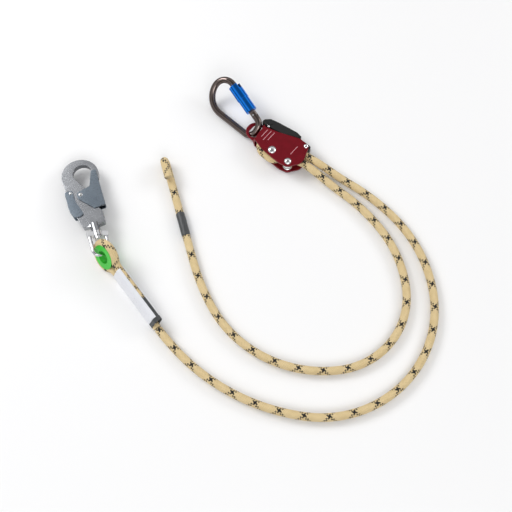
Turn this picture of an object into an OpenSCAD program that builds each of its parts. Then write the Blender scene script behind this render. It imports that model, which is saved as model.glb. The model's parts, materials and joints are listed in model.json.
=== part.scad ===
// Rope grab with its carabiner, rope and swivel snap hook.
// Origin: on the resting surface, under the cam axle. +X runs along the grab towards the
// rope exit, +Y towards the release lever, +Z up. Millimetres.

/* [Rope] */
// Rope diameter
rope_d = 12.7; // [12.5:0.1:12.8]
// Height of the rope's centre between the plates
rope_mid_z = 14; // [14:0.5:14]
// Gap between a rope end and the rope it bends against
rope_joint_gap = 0.1; // [0.1:0.05:0.2]

/* [Grab plates] */
// Thickness of each plate
plate_t = 3.5; // [3:0.1:3.6]
// Inside gap between the plates
plate_gap = 16; // [16:0.2:16.4]
// Radius of the attachment eye
eye_r = 15.6; // [15.4:0.1:16]
// Radius of the hole in the eye
eye_hole_r = 12.7; // [12.6:0.1:12.8]
// Thickness of both eye flanges together
eye_t = 3; // [2.8:0.1:3.2]

/* [Cam and lever] */
// Radius of the cam that the rope bends round
cam_r = 11.3; // [11:0.05:11.3]
// Cam axle radius
axle_r = 2.2; // [2:0.1:2.3]
// Brake pin radius
brake_r = 3; // [2.8:0.1:3.2]
// Radial running clearance of the pivots
run_gap = 0.05; // [0.03:0.01:0.08]

/* [Carabiner] */
// Radius of the carabiner's bar
bar_r = 5.4; // [5.2:0.1:5.4]
// Tilt of the carabiner about its spine
carabiner_tilt = 38; // [37:1:39]
// Radius of the locking sleeve's wide end
sleeve_r = 9.9; // [9.5:0.1:10.2]

/* [Snap hook] */
// Thickness of the forged hook body
hook_t = 9; // [8:0.2:9.4]
// Radius of the hook's bowl
bowl_r = 15.5; // [15:0.1:16]
// Bail bar radius
bail_bar_r = 3; // [2.8:0.1:3]

/* [Hidden] */
$fn = 96;
rope_r = rope_d / 2;
bore_x = 0.02;
collar_l = 0.4;
// Levels of the grab, from the resting surface up.
dome_h = 2.5;
rear_z = dome_h;
gap_z0 = rear_z + plate_t;
gap_z1 = gap_z0 + plate_gap;
front_top = gap_z1 + plate_t;
flange_t = eye_t / 2 - 0.05;
// Plan positions of the grab's pins and its eye.
eye_at = [-45, 13.2];
brake_at = [32.3, 0.2];
lever_at = [37.6, 39.7];
spring_at = [-7, 9.5];
lever_rivet_at = [-32.4, 30.9];
cam_at = [-8, 8];
cam_low_at = [2, 3.3];
cam_low_r = 13 - rope_r;
drive_at = [12, 8];
bend_turn = 8;
eye_hole_off = 3.9;
bend_u = -34;
bend_run = 3.2;
bend_in = 2;
// The rope inside the grab: bend about the cam, then over the brake spool.
bight_r = cam_r + rope_r;
strand_slope = 5.65;
mouth_x = 52;
// Rope legs as [bend radius, turn angle] steps; radius 0 is a straight of that length.
hook_leg_heading = 6.1;
tail_leg_heading = 0.8;
lead = 80;
tail_run = 172;
shrink_l = 40;
shrink_back = 126;
hook_leg = [[319, -15.8], [220, -35.6], [176, -61.2], [175, -41.8], [316, -37.4], [442, -6.7]];
tail_leg = [[287, -16.6], [195, -30.7], [121, -86.4], [188, -68.8], [360, -12.5], [0, tail_run]];
table_rope_z = rope_r + 0.05;
drop = rope_mid_z - table_rope_z;
lead_a = 2 * atan(drop / lead);
lead_r = lead / 2 / sin(lead_a);
dip = [[lead_r, -lead_a], [lead_r, lead_a]];
// Sewn eye: tilted plane, rope round the thimble and two strands side by side.
eye_tilt = 64;
eye_pitch = 5.4;
thimble_r = 14.6;
thimble_rim_r = 19.8;
thimble_hole_r = 10.6;
thimble_w = 13.4;
eye_rope_r = thimble_r + rope_r + 0.1;
neck_r = 15;
strand_y = rope_r + 0.15;
neck_turn = acos((strand_y + neck_r) / (eye_rope_r + neck_r));
neck_x = sqrt(pow(eye_rope_r + neck_r, 2) - pow(strand_y + neck_r, 2));
label_l = 93;
label_x = -neck_x - 3;
short_l = label_l + 4;
// Snap hook frame: along its length from the thimble, then pitched down to its tip.
hook_heading = 148;
hook_pitch = 4.4;
bail_off = 3;
bail_w = 13.4;
bail_corner = 6.5;
bail_shift = 4.4;
bail_lift = 2.2;
bail_roll = 90 - eye_tilt;
bail_l = 34;
swivel_x = 32;
swivel_l = 8;
swivel_r = 7.5;
stud_r = 4;
stud_head_l = 4.5;
hook_x = swivel_x + swivel_l + 0.3;
bowl_at = [147, -3.5];
back_at = [144.5, 1];
back_r = 29.5;
gate_pin_at = [109.7, 8.2];
gate_pin_r = 2.5;
lock_pin_at = [116.6, 22.5];
gate_sheet = 1.4;
// Carabiner in its own plane: x from the eye out to the bow, y down to the spine.
end_r = 13.5;
end_run = 5;
gate_turn = -17;
nose_run = 10;
gate_l = 60;
bow_r1 = 20;
gate_at = [end_r - end_r * sin(-gate_turn), -end_run - end_r * cos(gate_turn)];
nose_at = gate_at + gate_l * [cos(gate_turn), sin(gate_turn)];
turn_at = nose_at + nose_run * [cos(gate_turn), sin(gate_turn)]
    + bow_r1 * [-sin(gate_turn) + 1, cos(gate_turn)];
bow_r2 = end_r - turn_at[1];
spine_l = turn_at[0] - bow_r2 - end_r;
hinge_x = 8;
pin_r = 1.5;
gate_r = 4.8;
sleeve_x = 16;
sleeve_l = 51;
sleeve_step = 24;
sleeve_low_r = sleeve_r - 0.7;

// Turtle helpers ------------------------------------------------------------

// End pose [x, y, heading] of a chain of bends and straights.
function step_end(p, s) = s[0] == 0
    ? [p[0] + s[1] * cos(p[2]), p[1] + s[1] * sin(p[2]), p[2]]
    : let (q = sign(s[1]), h = p[2] + s[1])
        [p[0] + q * s[0] * (sin(h) - sin(p[2])), p[1] - q * s[0] * (cos(h) - cos(p[2])), h];
function chain_end(p, steps, k = 0) =
    k == len(steps) ? p : chain_end(step_end(p, steps[k]), steps, k + 1);

// Moves the children to a plan pose.
module at_pose(p) {
    translate([p[0], p[1], 0]) rotate([0, 0, p[2]]) children();
}

// Round bar along a chain, starting at the origin along +X. Each step stops short inside a
// hair-thin collar at the joint, so that the whole bar is one solid.
module bar(steps, r) {
    for (k = [0:len(steps) - 1]) {
        p = chain_end([0, 0, 0], [for (i = [0:1:k - 1]) steps[i]]);
        at_pose(p) {
            bar_step(steps[k], r);
            if (k > 0)
                translate([-collar_l / 2, 0, 0]) rotate([0, 90, 0])
                    cylinder(h = collar_l, r = r + 0.02);
        }
    }
}

module bar_step(s, r) {
    trim = s[0] == 0 ? 0.05 : 0.05 / s[0] * 180 / PI;
    if (s[0] == 0)
        translate([trim, 0, 0]) rotate([0, 90, 0]) cylinder(h = s[1] - 2 * trim, r = r);
    else
        translate([0, sign(s[1]) * s[0], 0])
            rotate([0, 0, (s[1] > 0 ? -90 : 90 + s[1]) + trim])
                rotate_extrude(angle = abs(s[1]) - 2 * trim) translate([s[0], 0]) circle(r = r);
}

// Polygon whose corners are rounded to the given radius by short arcs.
function unit(v) = v / norm(v);
function corner_arc(a, b, c, r) =
    let (u = unit(a - b), w = unit(c - b), half = acos(max(-1, min(1, u * w))) / 2,
        m = b + unit(u + w) * r / sin(half), q = b + u * r / tan(half) - m,
        s = b + w * r / tan(half) - m, a0 = atan2(q[1], q[0]), raw = atan2(s[1], s[0]) - a0,
        sweep = raw > 180 ? raw - 360 : (raw < -180 ? raw + 360 : raw),
        n = max(2, ceil(abs(sweep) / 9)))
    [for (i = [0:n]) m + r * [cos(a0 + sweep * i / n), sin(a0 + sweep * i / n)]];
function rounded(pts, r) = let (n = len(pts))
    [for (i = [0:n - 1]) each corner_arc(pts[(i + n - 1) % n], pts[i], pts[(i + 1) % n],
        is_list(r) ? r[i] : r)];

module upright(at, z, h, r) {
    translate([at[0], at[1], z]) cylinder(h = h, r = r);
}

// Low domed rivet head standing on level z, upward or downward.
module dome(at, z, r, h, up = true) {
    ball = (r * r + h * h) / (2 * h);
    translate([at[0], at[1], z]) mirror([0, 0, up ? 0 : 1])
        intersection() {
            translate([0, 0, h - ball]) sphere(r = ball);
            cylinder(h = h + 1, r = r + 1);
        }
}

// Grab -----------------------------------------------------------------------

module plate_outline() {
    polygon(rounded([eye_at + [5.8, eye_r], [-34.8, 25], [-12.1, 31], [22, 43.9], [41.5, 43.1],
        [50.6, 18], [49.8, 9], [37.8, -8.2], [22.8, -11.4], [8, -10.6], [-13.8, -9],
        [-29.4, -4.6], eye_at + [1.4, -eye_r], eye_at - [eye_r, eye_r], eye_at + [-eye_r, eye_r]],
        [11, 1.2, 20, 7, 8, 12, 8, 10, 30, 30, 12, 10, 8, 15.4, 15.4]));
}

// Hole long enough across the grab for the slanted carabiner bar.
module eye_hole() {
    hull_r = eye_hole_r - eye_hole_off;
    for (y = [-1, 1]) translate(eye_at + [0, y * eye_hole_off]) circle(r = hull_r);
    translate(eye_at - [hull_r, eye_hole_off]) square([2 * hull_r, 2 * eye_hole_off]);
}

// Side profile of a plate: flat over the rope, then a step to the thin eye flange.
module plate_side() {
    polygon([[bend_u + bend_in, plate_gap / 2], [80, plate_gap / 2],
        [80, plate_gap / 2 + plate_t], [bend_u, plate_gap / 2 + plate_t],
        [bend_u - bend_run, flange_t + 0.05], [bend_u - 40, flange_t + 0.05],
        [bend_u - 40, 0.05], [bend_u + 0.7, 0.05]]);
}

module plate_form() {
    intersection() {
        translate([0, 0, rope_mid_z]) rotate([0, 0, bend_turn])
            rotate([90, 0, 0]) translate([0, 0, -100]) linear_extrude(200) plate_side();
        translate([0, 0, -1]) linear_extrude(40) difference() {
            plate_outline();
            eye_hole();
        }
    }
}

module plate_holes() {
    upright([0, 0], -1, 40, axle_r + bore_x);
    upright(brake_at, -1, 40, brake_r + bore_x);
    upright(lever_at, -1, 40, 2.3 + bore_x);
}

module front_plate() {
    color([0.57, 0.1, 0.18]) difference() {
        plate_form();
        plate_holes();
    }
}

module rear_plate() {
    color([0.57, 0.1, 0.18]) difference() {
        translate([0, 0, 2 * rope_mid_z]) mirror([0, 0, 1]) plate_form();
        plate_holes();
    }
}

// Pin with a dome at each end, outside both plates.
module domed_pin(at, r, head_r, head_h) {
    upright(at, rear_z, front_top - rear_z, r);
    dome(at, front_top, head_r, head_h);
    dome(at, rear_z, head_r, head_h - 0.1, false);
}

// The axle's lower head is flat: the grab rests on it.
module cam_axle() {
    color([0.75, 0.75, 0.76]) {
        upright([0, 0], 0, front_top, axle_r);
        upright([0, 0], 0, rear_z, 6.5);
        dome([0, 0], front_top, 6.5, dome_h);
    }
}

module brake_pin() {
    color([0.75, 0.75, 0.76]) domed_pin(brake_at, brake_r, 5.75, dome_h);
}

// Waisted brake spool between the plates.
module brake_spool() {
    color([0.72, 0.72, 0.7]) translate([brake_at[0], brake_at[1], gap_z0 + 0.05])
        difference() {
            rotate_extrude() difference() {
                square([7.4, plate_gap - 0.1]);
                translate([5 + rope_r, plate_gap / 2 - 0.05]) circle(r = rope_r + 0.1);
                translate([5 + rope_r, plate_gap / 2 - 0.05 - rope_r - 0.1])
                    square([20, 2 * rope_r + 0.2]);
            }
            translate([0, 0, -1]) cylinder(h = 30, r = brake_r + bore_x);
        }
}

module lever_pin() {
    color([0.75, 0.75, 0.76]) domed_pin(lever_at, 2.3, 3.6, 1.5);
}

// Cam body: round over the rope side, with a nose that nips the rope at the spool.
module cam_outline() {
    circle(r = cam_hub_r);
    translate(cam_at + [1.2, 1.2]) circle(r = cam_r - 1.8);
    translate(cam_low_at) circle(r = cam_low_r - 0.1);
    polygon([[-14, 5], [-3, 0.3], [2, -3.1], [6.8, -1], [17.6, 11.4], [19.4, 15], [18.4, 15.5],
        [10, 17], [-6, 18.4]]);
}

bush_r = axle_r + 0.6;
cam_hub_r = 3.22;
cam_z = gap_z0 + 1.5;
cam_h = plate_gap - 3;
module cam() {
    color([0.6, 0.6, 0.62]) difference() {
        translate([0, 0, cam_z]) linear_extrude(cam_h) cam_outline();
        upright([0, 0], cam_z - 1, cam_h + 2, bush_r + bore_x);
        upright(spring_at, cam_z + cam_h - 4, 5, 5.4);
        upright(drive_at, cam_z - 1, 8, 1.6 + bore_x);
    }
}

module cam_bush() {
    color([0.7, 0.55, 0.25]) difference() {
        upright([0, 0], cam_z, cam_h, bush_r);
        upright([0, 0], 0, 40, axle_r + run_gap);
    }
}

// Thin washers above and below the cam, on the axle.
module cam_washers() {
    color([0.7, 0.7, 0.7]) for (z = [gap_z0 + 0.1, gap_z1 - 1.3])
        difference() {
            upright([0, 0], z, 1.2, 7);
            upright([0, 0], z - 1, 4, axle_r + bore_x);
        }
}

// Torsion spring in the cam's pocket, drawn as closed coils.
module cam_spring() {
    color([0.5, 0.5, 0.52]) for (k = [0:2])
        translate([spring_at[0], spring_at[1], cam_z + cam_h - 3.4 + k * 1.15])
            rotate_extrude() translate([4.6, 0]) circle(r = 0.5, $fn = 24);
}

module cam_drive_pin() {
    color([0.7, 0.7, 0.7]) upright(drive_at, gap_z0 + 0.3, 6, 1.6);
}

// Moulded grip of the release lever, outside the rope.
module lever_outline() {
    polygon(rounded([[-45.7, 29.7], [-45.9, 36.5], [-38, 43.6], [-24.7, 46.6], [-6.7, 49.2],
        [10.1, 51.6], [20.4, 49.9], [21.6, 45.8], [36, 45.6], [44.6, 45.4], [44.4, 37.9],
        [28, 38.2], [-8, 34.4], [-27, 31.2], [-36, 29.5]],
        [2.5, 5, 8, 40, 40, 5, 2, 1.6, 20, 3.6, 3.2, 30, 30, 12, 3]));
}

module release_lever() {
    color([0.08, 0.09, 0.09]) difference() {
        translate([0, 0, gap_z0 + 1.5]) linear_extrude(plate_gap - 1.7) lever_outline();
        upright(lever_at, 0, 40, 2.3 + run_gap);
        upright(lever_rivet_at, 0, 40, 1.5 + bore_x);
    }
}

// Steel arm under the grip and the rope; its slot turns the cam by the drive pin.
module lever_plate() {
    color([0.35, 0.35, 0.36]) translate([0, 0, gap_z0 + 0.2]) difference() {
        linear_extrude(1.1) {
            polygon(rounded([[-38, 30.5], [-36, 39.5], [-8, 46], [12, 48], [36, 45], [43, 44],
                [43, 35.6], [28, 33], [19.5, 14], [17.2, 3], [7.4, 3], [8, 16], [10, 34],
                [-8, 35.6], [-28, 32]], [2, 6, 20, 10, 10, 5, 4, 8, 10, 4, 4, 10, 6, 20, 10]));
        }
        translate([lever_at[0], lever_at[1], -1]) cylinder(h = 4, r = 2.3 + run_gap);
        translate([drive_at[0], drive_at[1], -1]) rotate([0, 0, 40]) for (s = [-1, 1])
            translate([s * 1.2, 0, 0]) cylinder(h = 4, r = 2.2);
        translate([drive_at[0], drive_at[1], -1]) rotate([0, 0, 40])
            translate([-1.2, -2.2, 0]) cube([2.4, 4.4, 4]);
    }
}

module lever_rivet() {
    color([0.8, 0.8, 0.8]) {
        upright(lever_rivet_at, gap_z0 + 1.5, plate_gap - 1.7, 1.5);
        dome(lever_rivet_at, gap_z1 - 0.2, 2.1, 1);
    }
}

// Rope -----------------------------------------------------------------------

// Angles that make the rope tangent to the cam, the low cam corner and the spool.
spool_path_r = 5.3 + rope_r;
low_r = cam_low_r + rope_r;
low_gap = brake_at - cam_low_at;
cross_a = atan2(low_gap[1], low_gap[0]) + asin((low_r + spool_path_r) / norm(low_gap));
cross_l = sqrt(pow(norm(low_gap), 2) - pow(low_r + spool_path_r, 2));
exit_a = 16;
top_run = (mouth_x - cam_at[0]) / cos(strand_slope) + bight_r * sin(strand_slope)
    / cos(strand_slope);
exit_run = (mouth_x - brake_at[0] + spool_path_r * sin(exit_a)) / cos(exit_a);
bight = [[0, top_run], [bight_r, 180 - strand_slope], [0, cam_low_at[0] - cam_at[0]],
    [low_r, cross_a], [0, cross_l], [spool_path_r, exit_a - cross_a], [0, exit_run]];
hook_mouth = cam_at + bight_r * [-sin(strand_slope), cos(strand_slope)]
    + top_run * [cos(strand_slope), sin(strand_slope)];
tail_mouth = brake_at + spool_path_r * [-sin(exit_a), cos(exit_a)]
    + exit_run * [cos(exit_a), sin(exit_a)];

module rope_bight() {
    color([0.84, 0.75, 0.55]) difference() {
        translate([hook_mouth[0], hook_mouth[1], rope_mid_z])
            rotate([0, 0, 180 + strand_slope]) bar(bight, rope_r);
        translate([hook_mouth[0], hook_mouth[1], rope_mid_z])
            sphere(r = rope_r + rope_joint_gap);
        translate([tail_mouth[0], tail_mouth[1], rope_mid_z])
            sphere(r = rope_r + rope_joint_gap);
    }
}

// A leg leaves the mouth, slopes down to the resting surface and curves away over it.
module rope_leg(mouth, heading, steps) {
    translate([mouth[0], mouth[1], rope_mid_z]) {
        rotate([0, 0, heading]) rotate([0, 90, 0]) sphere(r = rope_r - 0.05);
        rotate([0, 0, heading]) rotate([90, 0, 0]) bar(dip, rope_r);
    }
    translate([mouth[0], mouth[1], table_rope_z]) rotate([0, 0, heading])
        translate([lead, 0, 0]) {
            bar(steps, rope_r);
            translate([-collar_l / 2, 0, 0]) rotate([0, 90, 0])
                cylinder(h = collar_l, r = rope_r + 0.02);
        }
}

module rope_hook_leg() {
    color([0.84, 0.75, 0.55]) rope_leg(hook_mouth, hook_leg_heading, hook_leg);
}

hook_end = chain_end([hook_mouth[0] + lead * cos(hook_leg_heading),
    hook_mouth[1] + lead * sin(hook_leg_heading), hook_leg_heading], hook_leg);
tail_end = chain_end([tail_mouth[0] + lead * cos(tail_leg_heading),
    tail_mouth[1] + lead * sin(tail_leg_heading), tail_leg_heading], tail_leg);

// Tail stopper: the leg's end turns back over itself and is sewn down.
stub_r = rope_r + 0.25;
stub_l = 26;
stub_lean = 78;
module rope_tail_leg() {
    color([0.84, 0.75, 0.55]) rope_leg(tail_mouth, tail_leg_heading, tail_leg);
}

module tail_stub() {
    color([0.84, 0.75, 0.55]) at_pose(tail_end) translate([0.1, 0, table_rope_z])
        rotate([stub_lean, 0, 0]) bar([[stub_r, 180], [0, stub_l]], rope_r);
}

// Sleeve shrunk onto the tail's last straight.
shrink_t = 0.9;
module tail_shrink() {
    color([0.27, 0.28, 0.28]) at_pose(tail_end) translate([-shrink_back, 0, table_rope_z])
        rotate([0, 90, 0]) difference() {
            cylinder(h = shrink_l, r = rope_r + shrink_t);
            translate([0, 0, -1]) cylinder(h = shrink_l + 2, r = rope_r + bore_x);
            translate([rope_r + 0.03, -20, -1]) cube([20, 40, shrink_l + 2]);
        }
}

// Rows of thread across the two strands of the stopper.
module tail_stitching() {
    color([0.85, 0.77, 0.6]) at_pose(tail_end) translate([-3, 0, table_rope_z])
        rotate([stub_lean, 0, 0]) for (k = [0:6], side = [-1, 1])
            translate([-3 * k, -0.5, side * (rope_r + 0.5)]) rotate([-90, 0, 0])
                cylinder(h = 2 * stub_r + 1, r = 0.45, $fn = 24);
}

// Band round two strands at y0 and y1, seen along the rope.
module two_strands(y0, y1, r) {
    translate([0, y0]) circle(r = r);
    translate([0, y1]) circle(r = r);
    translate([-r, y0]) square([2 * r, y1 - y0]);
}

// Hook end -------------------------------------------------------------------

// Frame of the sewn eye: x from the leg to the hook, y down to the resting surface.
eye_dx = label_l + 3 + neck_x + 14;
module at_eye() {
    at_pose(hook_end) translate([0, 0, table_rope_z])
        rotate([0, -eye_pitch, 0]) rotate([-eye_tilt, 0, 0])
            translate([eye_dx, -strand_y, 0]) children();
}

module rope_eye() {
    color([0.84, 0.72, 0.53]) at_eye() translate([-eye_dx + 3, strand_y, 0])
        bar([[0, eye_dx - 3 - neck_x], [neck_r, neck_turn],
            [eye_rope_r, -180 - 2 * neck_turn], [neck_r, neck_turn], [0, short_l]], rope_r);
}

module thimble() {
    color([0.24, 0.78, 0.24]) at_eye() rotate_extrude() difference() {
        translate([thimble_hole_r, -thimble_w / 2])
            square([thimble_rim_r - thimble_hole_r, thimble_w]);
        translate([eye_rope_r, 0]) circle(r = rope_r + 0.05);
        translate([eye_rope_r, -rope_r - 0.05]) square([20, 2 * rope_r + 0.1]);
    }
}

module eye_band(x0, l, r0, r1, gap = 0) {
    at_eye() translate([x0, 0, 0]) rotate([0, -90, 0]) linear_extrude(l) difference() {
        two_strands(-strand_y, strand_y, r1);
        two_strands(-strand_y, strand_y, r0);
        if (gap > 0)
            rotate(-24) translate([0, -40]) square([30, 40 - strand_y + gap]);
    }
}

module eye_stitching() {
    color([0.85, 0.77, 0.6]) for (k = [0:5])
        eye_band(label_x - 22 - 5 * k, 1.2, rope_r + bore_x, rope_r + 0.45);
}

module eye_shrink() {
    color([0.2, 0.21, 0.22]) eye_band(label_x - label_l * 0.62, label_l * 0.38 + 7,
        rope_r + bore_x, rope_r + 0.5);
}

module label_sleeve() {
    color([0.95, 0.95, 0.96]) eye_band(label_x, label_l, rope_r + 0.55, rope_r + 1.0, 4);
}

// Carabiner --------------------------------------------------------------------

// Frame in the carabiner's plane; the gate side is raised.
module at_carabiner() {
    translate([eye_at[0], eye_at[1], rope_mid_z]) rotate([0, 0, 178])
        rotate([-carabiner_tilt, 0, 0]) children();
}

module at_gate() {
    at_carabiner() translate([gate_at[0], gate_at[1], 0]) rotate([0, 0, gate_turn]) children();
}

module carabiner_body() {
    color([0.3, 0.27, 0.26]) difference() {
        union() {
            at_gate() translate([gate_l, 0, 0])
                bar([[0, nose_run], [bow_r1, 90 - gate_turn], [bow_r2, 90], [0, spine_l],
                    [end_r, 90], [0, end_run], [end_r, 90 + gate_turn],
                    [0, hinge_x + 4.4]], bar_r);
        }
        at_gate() translate([hinge_x - 6, -20, -2.5]) cube([20, 40, 5]);
        at_gate() translate([hinge_x, 0, -10]) cylinder(h = 20, r = pin_r + bore_x);
        at_gate() translate([hinge_x + 4.4, -20, -20]) cube([10, 40, 40]);
    }
}

module carabiner_gate() {
    color([0.3, 0.27, 0.26]) at_gate() difference() {
        union() {
            translate([hinge_x + 7.5, 0, 0]) rotate([0, 90, 0])
                cylinder(h = gate_l - 0.5 - hinge_x - 7.5, r = gate_r);
            translate([hinge_x, -gate_r, -2.4]) cube([7.8, 2 * gate_r, 4.8]);
            translate([hinge_x, 0, -2.4]) cylinder(h = 4.8, r = gate_r);
        }
        translate([hinge_x, 0, -10]) cylinder(h = 20, r = pin_r + run_gap);
        translate([hinge_x + 10, 0, 0]) rotate([0, 90, 0]) cylinder(h = 22, r = 1.6);
    }
}

module gate_hinge_pin() {
    color([0.6, 0.6, 0.6]) at_gate() translate([hinge_x, 0, -bar_r + 0.2])
        cylinder(h = 2 * bar_r - 0.4, r = pin_r);
}

// Spring plunger inside the gate, which pushes it shut.
module gate_plunger() {
    color([0.6, 0.6, 0.6]) at_gate() translate([hinge_x + 10.2, 0, 0]) rotate([0, 90, 0])
        cylinder(h = 21, r = 1.5);
}

module locking_sleeve() {
    color([0.12, 0.4, 0.78]) at_gate() translate([sleeve_x, 0, 0]) difference() {
        rotate([0, 90, 0]) union() {
            cylinder(h = sleeve_step, r = sleeve_low_r);
            translate([0, 0, sleeve_step]) cylinder(h = sleeve_l - sleeve_step, r = sleeve_r);
        }
        translate([-1, 0, 0]) rotate([0, 90, 0]) cylinder(h = sleeve_l + 2, r = gate_r + run_gap);
        translate([gate_l - sleeve_x - 2, 0, 0]) rotate([0, 90, 0])
            cylinder(h = 20, r = bar_r + 0.3);
        translate([12, 0, 0]) rotate([0, 90, 0]) cylinder(h = 26, r = 7);
        translate([gate_l - sleeve_x - 2, -20, -bar_r - 0.3]) cube([30, 20, 2 * bar_r + 0.6]);
    }
}

// Sleeve's return spring, drawn as closed coils round the gate.
module sleeve_spring() {
    color([0.6, 0.6, 0.6]) at_gate() for (k = [0:7])
        translate([sleeve_x + 14 + k * 3, 0, 0]) rotate([0, 90, 0])
            rotate_extrude() translate([gate_r + 1.1, 0]) circle(r = 0.6, $fn = 24);
}

// Snap hook --------------------------------------------------------------------

// Point of the thimble's centre, and the hook's frame hung from it.
module at_hook() {
    translate(hung_at) rotate([0, 0, hook_heading]) rotate([0, hook_pitch, 0])
        translate([bail_off, bail_shift, bail_lift]) children();
}

// The bail is rolled square to the thimble.
module at_bail() {
    at_hook() rotate([bail_roll, 0, 0]) children();
}
function turn_z(v, a) = [v[0] * cos(a) - v[1] * sin(a), v[0] * sin(a) + v[1] * cos(a), v[2]];
eye_rise = strand_y * sin(eye_tilt);
eye_local = [eye_dx * cos(eye_pitch) - eye_rise * sin(eye_pitch), -strand_y * cos(eye_tilt),
    eye_dx * sin(eye_pitch) + eye_rise * cos(eye_pitch)];
hung_at = [hook_end[0], hook_end[1], table_rope_z] + turn_z(eye_local, hook_end[2]);

module swivel_bail() {
    leg = bail_l - bail_corner;
    color([0.78, 0.79, 0.8]) at_bail() difference() {
        union() {
            translate([bail_l, bail_w, 0]) rotate([0, 0, 180])
                bar([[0, leg], [bail_corner, 90], [0, 2 * (bail_w - bail_corner)],
                    [bail_corner, 90], [0, leg]], bail_bar_r);
            translate([swivel_x, -bail_w - bail_bar_r, -3.6])
                cube([swivel_l, 2 * (bail_w + bail_bar_r), 7.2]);
            translate([swivel_x, 0, 0]) rotate([0, 90, 0]) cylinder(h = swivel_l, r = swivel_r);
        }
        translate([swivel_x - 5, 0, 0]) rotate([0, 90, 0])
            cylinder(h = 30, r = stud_r + run_gap);
    }
}

module swivel_stud() {
    color([0.8, 0.8, 0.82]) at_hook() translate([swivel_x - stud_head_l - 0.4, 0, 0])
        rotate([0, 90, 0]) {
            cylinder(h = stud_head_l - 0.6, r = 6);
            cylinder(h = stud_head_l + swivel_l + 7.5, r = stud_r);
        }
}

module swivel_washer() {
    color([0.8, 0.8, 0.82]) at_hook() translate([swivel_x - 0.9, 0, 0]) rotate([0, 90, 0])
        difference() {
            cylinder(h = 0.8, r = 6.6);
            translate([0, 0, -1]) cylinder(h = 4, r = stud_r + run_gap);
        }
}

module hook_outline() {
    difference() {
        union() {
            translate(back_at) circle(r = back_r);
            polygon(rounded([[hook_x + 10, 17], [hook_x + 10, -17.5], [72, -18], [90, -8],
                [116, -6], [128, -6], [141, 29.6], [92, 28.4], [72, 23]],
                [3, 3, 6, 20, 6, 1, 6, 20, 20]));
        }
        translate(bowl_at) circle(r = bowl_r);
        polygon([[115.5, -3], [131, -18.6], [134, -12.6], [143, 11.4]]);
        polygon([[108, -6], [115.5, -3], [134, -15], [131, -32], [100, -40]]);
    }
}

module hook_body() {
    color([0.6, 0.62, 0.64]) at_hook() difference() {
        union() {
            translate([0, 0, -hook_t / 2]) linear_extrude(hook_t) hook_outline();
            translate([hook_x, 0, 0]) rotate([0, 90, 0]) cylinder(h = 15, r = swivel_r);
        }
        translate([hook_x - 1, 0, 0]) rotate([0, 90, 0]) cylinder(h = 9, r = stud_r + bore_x);
        translate([gate_pin_at[0], gate_pin_at[1], -20]) cylinder(h = 40, r = gate_pin_r + bore_x);
        translate([lock_pin_at[0], lock_pin_at[1], -20]) cylinder(h = 40, r = 2 + bore_x);
    }
}

// Folded sheet gate: two cheeks outside the body, joined by a web at the mouth side.
module gate_outline() {
    polygon(rounded([[147.5, -17.5], [147, -25.2], [80.5, -24.6], [79.5, -7], [103, 13.4],
        [114, 13.6], [120.5, -9]], [2.5, 1.5, 2, 2, 5.5, 5.5, 4]));
}

module hook_gate() {
    cheek = hook_t / 2 + 0.15;
    color([0.5, 0.55, 0.6]) at_hook() difference() {
        union() {
            for (s = [0, 1]) mirror([0, 0, s]) translate([0, 0, cheek])
                linear_extrude(gate_sheet) gate_outline();
            translate([82, -25.1, -cheek - 0.2]) cube([28, gate_sheet, 2 * cheek + 0.4]);
        }
        translate([gate_pin_at[0], gate_pin_at[1], -20]) cylinder(h = 40, r = gate_pin_r + run_gap);
    }
}

module hook_gate_pin() {
    half = hook_t / 2 + 0.2 + gate_sheet;
    color([0.8, 0.8, 0.8]) at_hook() {
        upright(gate_pin_at, -half, 2 * half, gate_pin_r);
        dome(gate_pin_at, half, 3.4, 1.2);
        dome(gate_pin_at, -half, 3.4, 1.2, false);
    }
}

module hook_gate_spring() {
    color([0.6, 0.6, 0.6]) at_hook() for (k = [0:3])
        translate([84 + 3 * k, -21, 0]) rotate([0, 90, 0])
            rotate_extrude() translate([2, 0]) circle(r = 0.4, $fn = 24);
}

// Folded lock lever on the back of the hook.
module lock_outline() {
    polygon(rounded([[121, 31.3], [89.3, 31.4], [73, 26.5], [71, 18], [74, 11], [86, 14],
        [96, 17.4], [104, 18.7], [121, 18.5]], [3, 6, 3, 2.5, 2.5, 6, 6, 4, 3]));
}

module lock_lever() {
    cheek = hook_t / 2 + 0.15;
    color([0.45, 0.48, 0.52]) at_hook() difference() {
        union() {
            for (s = [0, 1]) mirror([0, 0, s]) translate([0, 0, cheek])
                linear_extrude(gate_sheet) lock_outline();
            translate([91, 29.95, -cheek - 0.2]) cube([25, gate_sheet, 2 * cheek + 0.4]);
        }
        translate([lock_pin_at[0], lock_pin_at[1], -20]) cylinder(h = 40, r = 2 + run_gap);
    }
}

module lock_lever_pin() {
    half = hook_t / 2 + 0.2 + gate_sheet;
    color([0.8, 0.8, 0.8]) at_hook() {
        upright(lock_pin_at, -half, 2 * half, 2);
        dome(lock_pin_at, half, 2.8, 0.9);
        dome(lock_pin_at, -half, 2.8, 0.9, false);
    }
}

rear_plate();
front_plate();
cam_axle();
brake_pin();
brake_spool();
cam_washers();
cam();
cam_bush();
cam_spring();
cam_drive_pin();
lever_pin();
release_lever();
lever_plate();
lever_rivet();
rope_bight();
rope_hook_leg();
rope_tail_leg();
tail_stub();
tail_shrink();
tail_stitching();
rope_eye();
thimble();
eye_stitching();
eye_shrink();
label_sleeve();
carabiner_body();
carabiner_gate();
gate_hinge_pin();
gate_plunger();
locking_sleeve();
sleeve_spring();
swivel_bail();
swivel_stud();
swivel_washer();
hook_body();
hook_gate();
hook_gate_pin();
hook_gate_spring();
lock_lever();
lock_lever_pin();
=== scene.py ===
"""Looks of the rope grab lanyard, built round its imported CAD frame."""
import json
import math

import bpy
import numpy as np
from mathutils import Matrix, Vector


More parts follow.
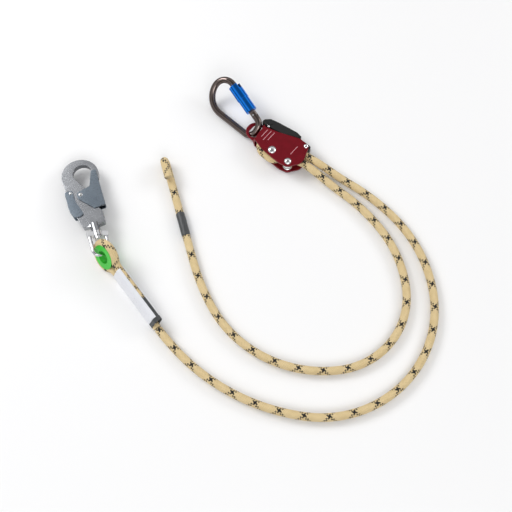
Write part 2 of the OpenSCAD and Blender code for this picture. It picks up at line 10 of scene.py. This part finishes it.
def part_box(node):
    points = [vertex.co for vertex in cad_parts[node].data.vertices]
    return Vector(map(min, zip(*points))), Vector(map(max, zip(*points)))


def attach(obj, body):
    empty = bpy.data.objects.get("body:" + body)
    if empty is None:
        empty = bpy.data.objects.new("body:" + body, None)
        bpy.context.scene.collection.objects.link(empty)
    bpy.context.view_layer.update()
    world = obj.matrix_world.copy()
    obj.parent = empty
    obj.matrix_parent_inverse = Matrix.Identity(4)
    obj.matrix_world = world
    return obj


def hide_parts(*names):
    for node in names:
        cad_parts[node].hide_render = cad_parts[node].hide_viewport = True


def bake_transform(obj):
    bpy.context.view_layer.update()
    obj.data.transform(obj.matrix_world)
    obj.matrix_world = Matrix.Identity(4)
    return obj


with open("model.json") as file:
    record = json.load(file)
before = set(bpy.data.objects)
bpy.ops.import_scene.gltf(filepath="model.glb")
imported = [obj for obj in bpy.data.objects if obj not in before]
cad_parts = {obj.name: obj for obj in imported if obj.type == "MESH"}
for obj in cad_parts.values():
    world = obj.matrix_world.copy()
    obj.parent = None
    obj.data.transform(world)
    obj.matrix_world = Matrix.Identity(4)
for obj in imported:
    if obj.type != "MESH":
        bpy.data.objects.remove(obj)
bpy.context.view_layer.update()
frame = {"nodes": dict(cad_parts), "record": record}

MM = 0.001

# Rope path, mm and degrees, the same design values as the frame's own chains.
ROPE_R = 6.35
MID_Z = 14.0
TABLE_Z = 6.4
LEAD = 80.0
HOOK_HEADING, TAIL_HEADING = 6.1, 0.8
HOOK_LEG = [(319, -15.8), (220, -35.6), (176, -61.2), (175, -41.8), (316, -37.4), (442, -6.7)]
TAIL_LEG = [(287, -16.6), (195, -30.7), (121, -86.4), (188, -68.8), (360, -12.5), (0, 172)]
STRAND_SLOPE = 5.65
EYE_TILT, EYE_PITCH = 64.0, 5.4
STRAND_Y = 6.5
EYE_ROPE_R, NECK_R, NECK_TURN, NECK_X = 21.05, 15.0, 53.3879, 28.937
EYE_DX, SHORT_L = 138.937, 97.0
LABEL_X, LABEL_L = -31.937, 93.0
LABEL_SLIT = (0.66, 0.8)
STUB_R, STUB_L, STUB_LEAN = 6.6, 26.0, 78.0
SHRINK_BACK, SHRINK_L = 126.0, 40.0

# Sheath: carriers each way, tracer pitch and depth of relief, mm.
CARRIERS = 12
TRACERS = (2, 3)
PITCH = 36.5
RELIEF = 0.42
AROUND = 64
STEP = 0.8
BEND_ROWS = 80


def rot(axis, degrees):
    return Matrix.Rotation(math.radians(degrees), 4, axis)


def move(x, y, z=0.0):
    return Matrix.Translation((x, y, z))


def chain_points(steps, ds):
    """Plan points of a chain of (radius, turn) bends and (0, length) straights, and its end pose."""
    x = y = heading = 0.0
    points = [(0.0, 0.0)]
    for radius, amount in steps:
        length = amount if radius == 0 else radius * math.radians(abs(amount))
        n = max(2, round(length / ds))
        turn = 0.0 if radius == 0 else math.radians(amount)
        for i in range(1, n + 1):
            h = heading + turn * i / n
            if radius == 0:
                p = (x + amount * i / n * math.cos(heading), y + amount * i / n * math.sin(heading))
            else:
                side = math.copysign(radius, turn)
                p = (x + side * (math.sin(h) - math.sin(heading)),
                     y - side * (math.cos(h) - math.cos(heading)))
            points.append(p)
        x, y = points[-1]
        heading += turn
    return points, (x, y, math.degrees(heading))


def path(matrix, steps, ds=STEP):
    """Points of a chain laid in the XY plane of matrix."""
    points, _ = chain_points(steps, ds)
    return np.array([matrix @ Vector((p[0], p[1], 0)) for p in points])


def end_pose(matrix, steps):
    _, (x, y, heading) = chain_points(steps, STEP)
    return matrix @ move(x, y) @ rot("Z", heading)


def new_mesh(name, verts, faces, smooth=True):
    mesh = bpy.data.meshes.new(name)
    mesh.from_pydata((np.asarray(verts) * MM).tolist(), [], faces)
    if smooth:
        mesh.shade_smooth()
    mesh.update()
    obj = bpy.data.objects.new(name, mesh)
    bpy.context.collection.objects.link(obj)
    return obj


def grid_faces(rows, around, first=0):
    faces = []
    for i in range(rows - 1):
        a = first + i * around
        for j in range(around):
            k = (j + 1) % around
            faces.append((a + j, a + k, a + around + k, a + around + j))
    return faces


def frames_along(points, up):
    """Tangent, side and up unit vectors at each point."""
    tangent = np.gradient(points, axis=0)
    tangent /= np.linalg.norm(tangent, axis=1)[:, None]
    high = up - (tangent @ up)[:, None] * tangent
    high /= np.linalg.norm(high, axis=1)[:, None]
    return tangent, np.cross(high, tangent), high


def rope(name, points, up, material, phase=0.0, caps=(True, True)):
    """Braided rope: strands pass over and under each other, two of them dark each way."""
    points = np.asarray(points, float)
    up = np.asarray(up, float)
    tangent, side, high = frames_along(points, up)
    run = np.concatenate([[0], np.cumsum(np.linalg.norm(np.diff(points, axis=0), axis=1))])
    turn = np.arange(AROUND) / AROUND
    along = (run[:, None] + phase) / PITCH
    a = CARRIERS * (turn[None, :] - along)
    b = CARRIERS * (turn[None, :] + along)
    ia, ib = np.floor(a).astype(int), np.floor(b).astype(int)
    fa, fb = 2 * (a - ia) - 1, 2 * (b - ib) - 1
    a_over = (ia + ib) % 2 == 0
    across = np.where(a_over, fa, fb)
    length = np.where(a_over, fb, fa)
    height = (1 - 0.8 * across ** 2) * (0.7 + 0.3 * (1 - length ** 2))
    dark_a = np.isin(ia % CARRIERS, TRACERS)
    dark_b = np.isin(ib % CARRIERS, TRACERS)
    dark = np.where(a_over, dark_a, dark_b).astype(float)
    radius = ROPE_R - RELIEF - 0.02 + RELIEF * height
    angle = 2 * np.pi * turn
    ring = (np.cos(angle)[None, :, None] * side[:, None, :]
            + np.sin(angle)[None, :, None] * high[:, None, :])
    verts = points[:, None, :] + radius[:, :, None] * ring
    verts = verts.reshape(-1, 3)
    rows = len(points)
    faces = grid_faces(rows, AROUND)
    extra, tones, depths = [], [], []
    for at_end, row, out in ((caps[0], 0, -1), (caps[1], rows - 1, 1)):
        if not at_end:
            continue
        first = len(verts) + len(extra)
        levels = ((0.93, 0.45), (0.72, 0.95), (0.4, 1.25), (0.12, 1.35))
        for share, reach in levels:
            for j in range(AROUND):
                extra.append(points[row] + out * reach * tangent[row]
                             + share * radius[row, j] * ring[row, j])
                tones.append(dark[row, j] * 0.6)
                depths.append(0.3 * share)
        loops = [list(range(row * AROUND, (row + 1) * AROUND))]
        loops += [list(range(first + k * AROUND, first + (k + 1) * AROUND))
                  for k in range(len(levels))]
        for lower, upper in zip(loops, loops[1:]):
            for j in range(AROUND):
                k = (j + 1) % AROUND
                quad = (lower[j], lower[k], upper[k], upper[j])
                faces.append(quad if out > 0 else quad[::-1])
        faces.append(tuple(loops[-1] if out > 0 else loops[-1][::-1]))
    if extra:
        verts = np.concatenate([verts, np.array(extra)])
    obj = new_mesh(name, verts, faces)
    tone = np.concatenate([dark.ravel(), tones])
    # The relief height goes along as the second channel, and the material turns it into painted
    # shade: darker in the braid's valleys between strands. The end caps get low values, so they are
    # darker towards their middle.
    depth = np.concatenate([height.ravel(), depths])
    colour = obj.data.color_attributes.new("sheath", "FLOAT_COLOR", "POINT")
    values = np.stack([tone, depth, np.zeros_like(tone), np.ones_like(tone)], axis=1)
    colour.data.foreach_set("color", values.ravel().astype(np.float32))
    obj.data.materials.append(material)
    return obj


def thread(points, radius=0.42, sides=8):
    """Vertices and faces of a thin round thread through the points, with closed ends."""
    points = np.asarray(points, float)
    tangent = np.gradient(points, axis=0)
    tangent /= np.linalg.norm(tangent, axis=1)[:, None]
    ref = np.array([1.0, 0.13, 0.07])
    side = np.cross(tangent, ref)
    side /= np.linalg.norm(side, axis=1)[:, None]
    high = np.cross(tangent, side)
    angle = 2 * np.pi * np.arange(sides) / sides
    rows = len(points)
    taper = np.ones(rows)
    taper[[0, -1]] = 0.45
    rings = (points[:, None, :] + radius * taper[:, None, None]
             * (np.cos(angle)[None, :, None] * side[:, None, :]
                + np.sin(angle)[None, :, None] * high[:, None, :]))
    faces = grid_faces(rows, sides)
    faces.append(tuple(range(sides))[::-1])
    faces.append(tuple((rows - 1) * sides + j for j in range(sides)))
    return rings.reshape(-1, 3), faces


def threads(name, paths, material, radius=0.42):
    verts, faces = [], []
    for p in paths:
        v, f = thread(p, radius)
        base = sum(len(x) for x in verts)
        verts.append(v)
        faces += [tuple(base + i for i in q) for q in f]
    obj = new_mesh(name, np.concatenate(verts), faces)
    obj.data.materials.append(material)
    return obj


def stadium(half, radius, sides):
    """Outline round two strands at +-half along y: points (y, z) and their outward normals."""
    points, normals = [], []
    arc = sides // 2
    for centre, start in ((half, 0.0), (-half, 180.0)):
        for k in range(arc + 1):
            t = math.radians(start + 180.0 * k / arc)
            normals.append((math.sin(t), math.cos(t)))
            points.append((centre + radius * math.sin(t), radius * math.cos(t)))
    return np.array(points), np.array(normals)


def sleeve(name, matrix, x0, x1, half, r_in, r_out, material, wrinkle, seed, slit=None, sides=72):
    """Sleeve shrunk round strands: hugs them, waists in at the valley and wrinkles slightly.
    slit = (first, last) share of the outline left open, where the wrap's edges don't meet."""
    rng = np.random.default_rng(seed)
    rows = max(12, int(abs(x1 - x0) / 1.2))
    outline, normal = stadium(half, r_out, sides)
    inner, _ = stadium(half, r_in, sides)
    total = len(outline)
    if slit:
        first, last = round(slit[0] * total), round(slit[1] * total)
        keep = [k % total for k in range(last, total + first + 1)]
    else:
        keep = list(range(total)) + [0]
    outline, normal, inner = outline[keep], normal[keep], inner[keep]
    count = len(keep)
    waves = [(rng.uniform(0.12, 0.5), rng.integers(1, 6), rng.uniform(0, 6.28),
              rng.uniform(0.3, 1)) for _ in range(7)]
    turn = 2 * np.pi * np.array(keep) / total
    verts = []
    for i in range(rows):
        x = x0 + (x1 - x0) * i / (rows - 1)
        bump = sum(w * np.sin(f * x + n * turn + p) for f, n, p, w in waves) / 4
        edge = min(i, rows - 1 - i)
        lip = 0.0 if edge > 1 else -0.12 * (2 - edge)
        waist = 0.0
        if half > 0:
            waist = -0.32 * np.clip(1 - np.abs(outline[:, 0]) / half, 0, 1)
        o = outline + normal * (wrinkle * np.clip(bump, -1, 1) + lip + waist)[:, None]
        loop = list(o) + list(inner[::-1])
        verts += [matrix @ Vector((x, p[0], p[1])) for p in loop]
    around = 2 * count
    faces = grid_faces(rows, around)
    for row in (0, rows - 1):
        base = row * around
        for j in range(count - 1):
            faces.append((base + j, base + j + 1, base + around - 2 - j, base + around - 1 - j))
    obj = new_mesh(name, np.array(verts), faces)
    obj.data.materials.append(material)
    bm_fix(obj)
    return obj


def bm_fix(obj):
    import bmesh
    bm = bmesh.new()
    bm.from_mesh(obj.data)
    bmesh.ops.remove_doubles(bm, verts=bm.verts, dist=1e-6)
    bmesh.ops.recalc_face_normals(bm, faces=bm.faces)
    bm.to_mesh(obj.data)
    bm.free()


# Materials -------------------------------------------------------------------

def srgb(r, g, b):
    return tuple(((c / 255 + 0.055) / 1.055) ** 2.4 if c > 10 else c / 3294 for c in (r, g, b)) + (1,)


def material(name, low, high, metallic, rough, scale=400.0, bump=0.1, stretch=(1, 1, 1), **sockets):
    """Node material: noise mixes two tones, varies roughness and drives a fine bump."""
    mat = bpy.data.materials.new(name)
    mat.use_nodes = True
    nodes, links = mat.node_tree.nodes, mat.node_tree.links
    shader = nodes["Principled BSDF"]
    coord = nodes.new("ShaderNodeTexCoord")
    mapping = nodes.new("ShaderNodeMapping")
    mapping.inputs["Scale"].default_value = stretch
    links.new(coord.outputs["Object"], mapping.inputs["Vector"])
    noise = nodes.new("ShaderNodeTexNoise")
    noise.inputs["Scale"].default_value = scale
    noise.inputs["Detail"].default_value = 6
    links.new(mapping.outputs["Vector"], noise.inputs["Vector"])
    wear = nodes.new("ShaderNodeTexNoise")
    wear.inputs["Scale"].default_value = scale / 12
    wear.inputs["Detail"].default_value = 3
    links.new(coord.outputs["Object"], wear.inputs["Vector"])
    mix = nodes.new("ShaderNodeMix")
    mix.data_type = "RGBA"
    mix.inputs["A"].default_value = low
    mix.inputs["B"].default_value = high
    links.new(wear.outputs["Fac"], mix.inputs["Factor"])
    links.new(mix.outputs["Result"], shader.inputs["Base Color"])
    spread = nodes.new("ShaderNodeMapRange")
    spread.inputs["To Min"].default_value = rough[0]
    spread.inputs["To Max"].default_value = rough[1]
    links.new(noise.outputs["Fac"], spread.inputs["Value"])
    links.new(spread.outputs["Result"], shader.inputs["Roughness"])
    relief = nodes.new("ShaderNodeBump")
    relief.inputs["Strength"].default_value = bump
    relief.inputs["Distance"].default_value = 0.0002
    links.new(noise.outputs["Fac"], relief.inputs["Height"])
    links.new(relief.outputs["Normal"], shader.inputs["Normal"])
    shader.inputs["Metallic"].default_value = metallic
    for key, value in sockets.items():
        shader.inputs[key.replace("_", " ")].default_value = value
    return mat


def rope_material():
    mat = material("rope", srgb(208, 183, 132), srgb(232, 209, 162), 0.0, (0.7, 0.95), 900, 0.5,
                   (1, 1, 1), Sheen_Weight=0.15)
    nodes, links = mat.node_tree.nodes, mat.node_tree.links
    shader = nodes["Principled BSDF"]
    base = shader.inputs["Base Color"].links[0].from_socket
    attribute = nodes.new("ShaderNodeAttribute")
    attribute.attribute_name = "sheath"
    split = nodes.new("ShaderNodeSeparateColor")
    links.new(attribute.outputs["Color"], split.inputs["Color"])
    # Painted shade: the relief height multiplies the base colour, down to 0.6 in the valleys between
    # strands.
    valley = nodes.new("ShaderNodeMapRange")
    valley.inputs["From Min"].default_value = 0.1
    valley.inputs["From Max"].default_value = 0.75
    valley.inputs["To Min"].default_value = 0.6
    valley.inputs["To Max"].default_value = 1.0
    links.new(split.outputs["Green"], valley.inputs["Value"])
    shade = nodes.new("ShaderNodeMix")
    shade.data_type = "RGBA"
    shade.blend_type = "MULTIPLY"
    shade.inputs["Factor"].default_value = 1.0
    links.new(base, shade.inputs["A"])
    links.new(valley.outputs["Result"], shade.inputs["B"])
    tracer = nodes.new("ShaderNodeMix")
    tracer.data_type = "RGBA"
    tracer.inputs["B"].default_value = srgb(12, 12, 13)
    links.new(split.outputs["Red"], tracer.inputs["Factor"])
    links.new(shade.outputs["Result"], tracer.inputs["A"])
    links.new(tracer.outputs["Result"], shader.inputs["Base Color"])
    return mat


MATS = {
    "print": material("print", srgb(222, 150, 160), srgb(240, 190, 196), 0.0, (0.5, 0.7), 900, 0.05),
    "red_anodised": material("red_anodised", srgb(112, 6, 22), srgb(138, 12, 32), 0.6,
                             (0.28, 0.42), 1500, 0.06),
    "bright_steel": material("bright_steel", srgb(205, 206, 208), srgb(232, 232, 233), 1.0,
                             (0.12, 0.25), 700, 0.05),
    "cam_steel": material("cam_steel", srgb(120, 121, 124), srgb(160, 161, 163), 1.0,
                          (0.3, 0.45), 500, 0.15),
    "bronze": material("bronze", srgb(150, 105, 55), srgb(180, 130, 75), 1.0, (0.3, 0.45), 500, 0.1),
    "spring_steel": material("spring_steel", srgb(140, 142, 146), srgb(175, 176, 180), 1.0,
                             (0.22, 0.35), 600, 0.05),
    "black_grip": material("black_grip", srgb(5, 6, 6), srgb(12, 13, 13), 0.0,
                           (0.38, 0.55), 2200, 0.35),
    "dark_sheet": material("dark_sheet", srgb(58, 58, 62), srgb(82, 82, 86), 1.0, (0.35, 0.5),
                           600, 0.1),
    "rope": rope_material(),
    "thread": material("thread", srgb(196, 176, 132), srgb(222, 204, 162), 0.0, (0.7, 0.9),
                       2600, 0.6),
    "black_shrink": material("black_shrink", srgb(50, 52, 54), srgb(76, 78, 80), 0.0,
                             (0.34, 0.5), 900, 0.2),
    "label": material("label", srgb(218, 220, 226), srgb(232, 233, 238), 0.0, (0.22, 0.36),
                      500, 0.1),
    "green_thimble": material("green_thimble", srgb(42, 176, 40), srgb(74, 212, 66), 0.0,
                              (0.25, 0.4), 500, 0.08),
    "gunmetal": material("gunmetal", srgb(84, 74, 71), srgb(124, 112, 108), 1.0, (0.05, 0.12),
                         500, 0.03),
    "blue_anodised": material("blue_anodised", srgb(14, 100, 210), srgb(40, 140, 238), 1.0,
                              (0.1, 0.18), 900, 0.05, (1, 1, 1)),
    "polished_steel": material("polished_steel", srgb(196, 197, 200), srgb(224, 225, 226), 1.0,
                               (0.1, 0.2), 600, 0.04),
    "zinc_forging": material("zinc_forging", srgb(128, 130, 134), srgb(168, 170, 174), 1.0,
                             (0.18, 0.32), 420, 0.12),
    "zinc_sheet": material("zinc_sheet", srgb(96, 106, 116), srgb(128, 137, 146), 1.0,
                           (0.22, 0.36), 420, 0.12),
}

# CAD parts keep their meshes, and the larger ones get softened edges -----------

SLOT_OF = {s["node"]: s["material_slot"] for s in frame["record"]["subparts"]}
EDGE = {"front_plate": 0.3, "rear_plate": 0.3, "hook_body": 0.5, "release_lever": 0.5,
        "locking_sleeve": 0.3, "lock_lever": 0.3, "hook_gate": 0.15}
for node, obj in frame["nodes"].items():
    obj.data.materials.clear()
    obj.data.materials.append(MATS[SLOT_OF[node]])
    if node not in EDGE:
        continue
    weld = obj.modifiers.new("weld", "WELD")
    weld.merge_threshold = 0.01 * MM
    bevel = obj.modifiers.new("edge", "BEVEL")
    bevel.width = EDGE[node] * MM
    bevel.segments = 2
    bevel.limit_method = "ANGLE"
    bevel.angle_limit = math.radians(50)
    bevel.use_clamp_overlap = False
    facing = obj.modifiers.new("facing", "WEIGHTED_NORMAL")
    facing.keep_sharp = False

# Rope ------------------------------------------------------------------------

UP = Vector((0, 0, 1))


def joint_at(name):
    j = next(j for j in frame["record"]["behaviour"]["joints"] if j["name"] == name)
    return Vector(j["pos_m"]) / MM


HOOK_MOUTH = joint_at("hook_leg_swing")
TAIL_MOUTH = joint_at("tail_leg_swing")


def leg_path(mouth, heading, steps):
    drop = MID_Z - TABLE_Z
    half = 2 * math.atan(drop / LEAD)
    radius = LEAD / 2 / math.sin(half)
    down = move(mouth.x, mouth.y, MID_Z) @ rot("Z", heading) @ rot("X", 90)
    a = path(down, [(radius, -math.degrees(half)), (radius, math.degrees(half))])
    start = move(mouth.x, mouth.y, TABLE_Z) @ rot("Z", heading) @ move(LEAD, 0)
    b = path(start, steps)
    return np.concatenate([a, b[1:]]), end_pose(start, steps)


hook_points, hook_pose = leg_path(HOOK_MOUTH, HOOK_HEADING, HOOK_LEG)
tail_points, tail_pose = leg_path(TAIL_MOUTH, TAIL_HEADING, TAIL_LEG)


def place(obj, nodes, body):
    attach(obj, body)
    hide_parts(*nodes)


def leg_pieces(name, node, points, body):
    """A leg in two lengths of one sheath: the first bends at the grab's mouth, the rest rides."""
    bend = points[:BEND_ROWS + 1]
    first = rope(name + "_mouth", bend, UP, MATS["rope"], caps=(True, False))
    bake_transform(first)
    done = np.linalg.norm(np.diff(bend, axis=0), axis=1).sum()
    rest = rope(name, points[BEND_ROWS:], UP, MATS["rope"], phase=done, caps=(False, False))
    place(rest, [node], body)


leg_pieces("rope_hook_leg_sheath", "rope_hook_leg", hook_points, "hook_leg")
leg_pieces("rope_tail_leg_sheath", "rope_tail_leg", tail_points, "tail_leg")

BIGHT = [(0, 62.0391), (17.65, 174.35), (0, 10), (13, 48.1866), (0, 17.8907), (11.65, -32.1866),
         (0, 23.8345)]
bight = rope("rope_bight_sheath",
             path(move(HOOK_MOUTH.x, HOOK_MOUTH.y, MID_Z) @ rot("Z", 180 + STRAND_SLOPE), BIGHT),
             UP, MATS["rope"], caps=(False, False))
place(bight, ["rope_bight"], "grab_frame")

stub_plane = tail_pose @ move(0.1, 0, 0) @ rot("X", STUB_LEAN)
stub = rope("tail_stub_sheath", path(stub_plane, [(STUB_R, 180), (0, STUB_L)], 0.6),
            stub_plane.to_3x3() @ UP, MATS["rope"], phase=9.0, caps=(False, True))
place(stub, ["tail_stub"], "tail_leg")

eye_plane = (hook_pose @ rot("Y", -EYE_PITCH) @ rot("X", -EYE_TILT)
             @ move(EYE_DX, -STRAND_Y))
eye_steps = [(0, EYE_DX - 3 - NECK_X), (NECK_R, NECK_TURN), (EYE_ROPE_R, -180 - 2 * NECK_TURN),
             (NECK_R, NECK_TURN), (0, SHORT_L)]
eye = rope("rope_eye_sheath", path(eye_plane @ move(-EYE_DX + 3, STRAND_Y), eye_steps),
           eye_plane.to_3x3() @ UP, MATS["rope"], phase=20.0, caps=(True, True))
place(eye, ["rope_eye"], "hook_leg")

# Sleeves and stitching --------------------------------------------------------

label = sleeve("label_wrap", eye_plane, LABEL_X - LABEL_L, LABEL_X, STRAND_Y, ROPE_R + 0.55,
               ROPE_R + 1.0, MATS["label"], 0.1, 3, LABEL_SLIT)
place(label, ["label_sleeve"], "hook_leg")
shrink = sleeve("eye_shrink_wrap", eye_plane, LABEL_X - LABEL_L - 7, LABEL_X - LABEL_L * 0.62,
                STRAND_Y, ROPE_R + 0.02, ROPE_R + 0.5, MATS["black_shrink"], 0.05, 5)
place(shrink, ["eye_shrink"], "hook_leg")
band = sleeve("tail_shrink_wrap", tail_pose, -SHRINK_BACK, SHRINK_L - SHRINK_BACK, 0,
              ROPE_R + 0.02, ROPE_R + 0.5, MATS["black_shrink"], 0.08, 8)
place(band, ["tail_shrink"], "tail_leg")


def over_strands(y, centres):
    """Height of thread pulled across strands at y: it hugs their tops and bridges the valley."""
    near = min(abs(y - c) for c in centres)
    return max(math.sqrt(max(ROPE_R ** 2 - near ** 2, 0)), 0.62 * ROPE_R) + 0.25


def stitch_rows(plane, xs, centres, reach, slant):
    rows = []
    lo, hi = min(centres) - reach, max(centres) + reach
    for n, x in enumerate(xs):
        for side in (-1, 1):
            ys = np.linspace(lo, hi, 15)
            lean = slant * (1 if n % 2 else -1)
            rows.append([plane @ Vector((x + lean * (y - lo) / (hi - lo), y,
                                         side * over_strands(y, centres))) for y in ys])
    return rows


eye_rows = threads("eye_thread", stitch_rows(eye_plane, [LABEL_X - 22 - 2.5 * k for k in range(11)],
                                             (-STRAND_Y, STRAND_Y), 2.5, 1.2), MATS["thread"])
place(eye_rows, ["eye_stitching"], "hook_leg")
tail_rows = threads("tail_thread",
                    stitch_rows(tail_pose @ rot("X", STUB_LEAN), [-2 - 1.9 * k for k in range(11)],
                                (0, 2 * STUB_R), -2.0, 1.0), MATS["thread"])
place(tail_rows, ["tail_stitching"], "tail_leg")

# Printed rules on the front plate: fine pale lines, no lettering ------------------------------


def printed_lines(name, strokes, z, body):
    """Flat ink strokes, each a list of plan points, lying on a face at height z."""
    verts, faces = [], []
    for points, width in strokes:
        p = np.array(points, float)
        t = np.gradient(p, axis=0)
        t /= np.linalg.norm(t, axis=1)[:, None]
        side = np.stack([-t[:, 1], t[:, 0]], axis=1) * width / 2
        base = len(verts)
        for a, b in zip(p + side, p - side):
            verts += [(a[0], a[1], z), (b[0], b[1], z)]
        for k in range(len(p) - 1):
            q = base + 2 * k
            faces.append((q, q + 1, q + 3, q + 2))
    obj = new_mesh(name, verts, faces, smooth=False)
    obj.data.materials.append(MATS["print"])
    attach(obj, body)
    return obj


plate_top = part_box("front_plate")[1].z / MM
strokes = []
for k, (top, foot) in enumerate(((23, 7), (25, 4), (26, 9))):
    strokes.append(([(-28 + 6 * k, top), (-28 + 6 * k, 14), (-28 + 6 * k, foot)], 0.7))
strokes.append(([(28, 30), (28, 22), (28, 12)], 0.7))
printed_lines("plate_print", strokes, plate_top + 0.02, "grab_frame")

# Stage, light and camera -----------------------------------------------------

floor_mesh = bpy.data.meshes.new("floor")
floor_mesh.from_pydata([(-6, -6, -0.0004), (6, -6, -0.0004), (6, 6, -0.0004), (-6, 6, -0.0004)],
                       [], [(0, 1, 2, 3)])
floor = bpy.data.objects.new("floor", floor_mesh)
bpy.context.collection.objects.link(floor)
paper = bpy.data.materials.new("paper")
paper.use_nodes = True
paper.node_tree.nodes["Principled BSDF"].inputs["Base Color"].default_value = (0.9, 0.9, 0.905, 1)
paper.node_tree.nodes["Principled BSDF"].inputs["Roughness"].default_value = 0.85
floor_mesh.materials.append(paper)

# Brightness of the studio by sine of elevation: a dim ceiling over a bright ring of softboxes,
# so that flat metal reads mid grey and its rounded edges catch light.
SKY = [(0.0, 0.25), (0.3, 0.35), (0.5, 1.0), (0.72, 1.0), (0.84, 0.5), (0.92, 0.3), (1.0, 0.3)]
world = bpy.data.worlds.new("studio")
bpy.context.scene.world = world
world.use_nodes = True
wn, wl = world.node_tree.nodes, world.node_tree.links
back = wn["Background"]
back.inputs["Strength"].default_value = 0.92
geo = wn.new("ShaderNodeTexCoord")
sep = wn.new("ShaderNodeSeparateXYZ")
ramp = wn.new("ShaderNodeValToRGB")
wl.new(geo.outputs["Generated"], sep.inputs["Vector"])
wl.new(sep.outputs["Z"], ramp.inputs["Fac"])
wl.new(ramp.outputs["Color"], back.inputs["Color"])
backdrop = wn.new("ShaderNodeBackground")
backdrop.inputs["Color"].default_value = (0.9, 0.9, 0.905, 1)
seen = wn.new("ShaderNodeLightPath")
choose = wn.new("ShaderNodeMixShader")
wl.new(seen.outputs["Is Camera Ray"], choose.inputs["Fac"])
wl.new(back.outputs["Background"], choose.inputs[1])
wl.new(backdrop.outputs["Background"], choose.inputs[2])
wl.new(choose.outputs["Shader"], wn["World Output"].inputs["Surface"])
ramp.color_ramp.elements[0].position = SKY[0][0]
ramp.color_ramp.elements[0].color = (SKY[0][1],) * 3 + (1,)
ramp.color_ramp.elements[1].position = SKY[-1][0]
ramp.color_ramp.elements[1].color = (SKY[-1][1],) * 3 + (1,)
for level, tone in SKY[1:-1]:
    ramp.color_ramp.elements.new(level).color = (tone,) * 3 + (1,)


def softbox(name, place_at, size, power):
    light = bpy.data.lights.new(name, "AREA")
    light.shape = "RECTANGLE"
    light.size, light.size_y = size
    light.energy = power
    obj = bpy.data.objects.new(name, light)
    bpy.context.collection.objects.link(obj)
    obj.location = place_at
    target = Vector((0.05, -0.15, 0))
    obj.rotation_mode = "QUATERNION"
    obj.rotation_quaternion = (target - Vector(place_at)).to_track_quat("-Z", "Y")


softbox("key", (-1.7, -0.4, 1.5), (1.2, 0.8), 23)
softbox("fill", (1.3, -1.3, 1.5), (1.4, 1.0), 12)
softbox("rim", (1.0, 1.6, 1.1), (1.0, 0.6), 9)

camera_data = bpy.data.cameras.new("camera")
camera_data.sensor_width = 36
camera_data.lens = 65.6
camera = bpy.data.objects.new("camera", camera_data)
bpy.context.collection.objects.link(camera)
azimuth, elevation, distance = math.radians(40), math.radians(67.9), 1.445
aim = Vector((0.0917, -0.1489, 0))
toward = Vector((math.sin(azimuth) * math.cos(elevation), -math.cos(azimuth) * math.cos(elevation),
                 math.sin(elevation)))
camera.location = aim + toward * distance
camera.rotation_mode = "QUATERNION"
camera.rotation_quaternion = (-toward).to_track_quat("-Z", "Y")
camera_data.clip_start, camera_data.clip_end = 0.05, 30
bpy.context.scene.camera = camera
bpy.context.scene.view_settings.view_transform = "Standard"

bpy.context.view_layer.update()
